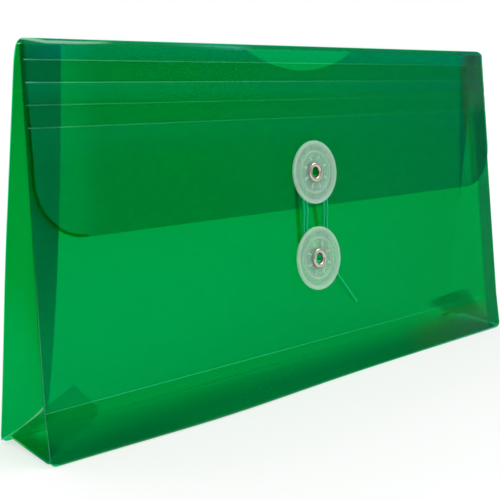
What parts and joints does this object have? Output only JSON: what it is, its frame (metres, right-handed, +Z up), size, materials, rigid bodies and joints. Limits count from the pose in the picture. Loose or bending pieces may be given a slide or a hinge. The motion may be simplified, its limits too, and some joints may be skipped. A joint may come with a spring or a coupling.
{
  "type": "button and string envelope",
  "caption": "Clear plastic envelope with pleated side gussets, a flat bottom, a scored flap, and two riveted buttons wound with a string that holds the flap shut.",
  "frame": {"origin": "middle of the foot, on the surface it stands on", "axes": "+X along the width, -Y out of the front, +Z up"},
  "size_m": [0.254, 0.0288, 0.1327],
  "materials": {
    "clear_green_sheet": "clear tinted plastic sheet with a soft gloss",
    "frosted_button": "frosted clear moulded plastic",
    "plated_eyelet": "bright plated metal",
    "green_string": "smooth green plastic string"
  },
  "bodies": {
    "front": {"front_panel": "clear_green_sheet", "lower_eyelet": "plated_eyelet", "string": "green_string", "left_gusset_front": "clear_green_sheet", "right_gusset_front": "clear_green_sheet"},
    "back": {"back_panel": "clear_green_sheet", "left_gusset_rear": "clear_green_sheet", "right_gusset_rear": "clear_green_sheet"},
    "front_strip": {"front_lower_strip": "clear_green_sheet"},
    "bottom": {"bottom_panel": "clear_green_sheet", "left_end_tab": "clear_green_sheet", "right_end_tab": "clear_green_sheet"},
    "flap_fold": {"flap_bend": "clear_green_sheet", "flap_strip_1": "clear_green_sheet"},
    "flap_second": {"flap_strip_2": "clear_green_sheet"},
    "flap_third": {"flap_strip_3": "clear_green_sheet"},
    "flap_fourth": {"flap_strip_4": "clear_green_sheet"},
    "flap": {"flap_panel": "clear_green_sheet", "upper_eyelet": "plated_eyelet"},
    "upper_button": {"upper_button": "frosted_button"},
    "lower_button": {"lower_button": "frosted_button"}
  },
  "joints": [
    {"name": "flap_fold_hinge", "type": "hinge", "parent": "front", "child": "flap_fold", "pos_m": [0, 0.00103, 0.1314], "axis": [-1, 0, 0], "range_deg": [0, 165], "deforming": ["string"]},
    {"name": "flap_score_1", "type": "hinge", "parent": "flap_fold", "child": "flap_second", "pos_m": [0, -0.00252, 0.12572], "axis": [-1, 0, 0], "range_deg": [0, 35], "deforming": ["string"]},
    {"name": "flap_score_2", "type": "hinge", "parent": "flap_second", "child": "flap_third", "pos_m": [0, -0.00324, 0.11866], "axis": [-1, 0, 0], "range_deg": [0, 35], "deforming": ["string"]},
    {"name": "flap_score_3", "type": "hinge", "parent": "flap_third", "child": "flap_fourth", "pos_m": [0, -0.00396, 0.11159], "axis": [-1, 0, 0], "range_deg": [0, 35], "deforming": ["string"]},
    {"name": "flap_score_4", "type": "hinge", "parent": "flap_fourth", "child": "flap", "pos_m": [0, -0.00468, 0.10453], "axis": [-1, 0, 0], "range_deg": [0, 35], "deforming": ["string"]},
    {"name": "back_swing", "type": "hinge", "parent": "front", "child": "back", "pos_m": [0, 0.00103, 0.1314], "axis": [-1, 0, 0], "range_deg": [0, 9.9], "deforming": ["left_gusset_front", "left_gusset_rear", "right_gusset_front", "right_gusset_rear", "left_end_tab", "right_end_tab"]},
    {"name": "front_crease_fold", "type": "hinge", "parent": "front", "child": "front_strip", "pos_m": [0, -0.01278, 0.01635], "axis": [-1, 0, 0], "range_deg": [0, 108.01]},
    {"name": "bottom_fold", "type": "hinge", "parent": "front_strip", "child": "bottom", "pos_m": [0, -0.01405, 0.0005], "axis": [1, 0, 0], "range_deg": [0, 56.4]},
    {"name": "upper_button_spin", "type": "hinge", "parent": "flap", "child": "upper_button", "pos_m": [0, -0.0069, 0.08274], "axis": [0, -0.9948, 0.1016], "continuous": true},
    {"name": "lower_button_spin", "type": "hinge", "parent": "front", "child": "lower_button", "pos_m": [0, -0.00946, 0.04883], "axis": [0, -0.9948, 0.1016], "continuous": true}
  ],
  "couplings": [
    {"joint": "front_crease_fold", "follows": "back_swing", "ratio": 10.909},
    {"joint": "bottom_fold", "follows": "back_swing", "ratio": 5.6957}
  ]
}
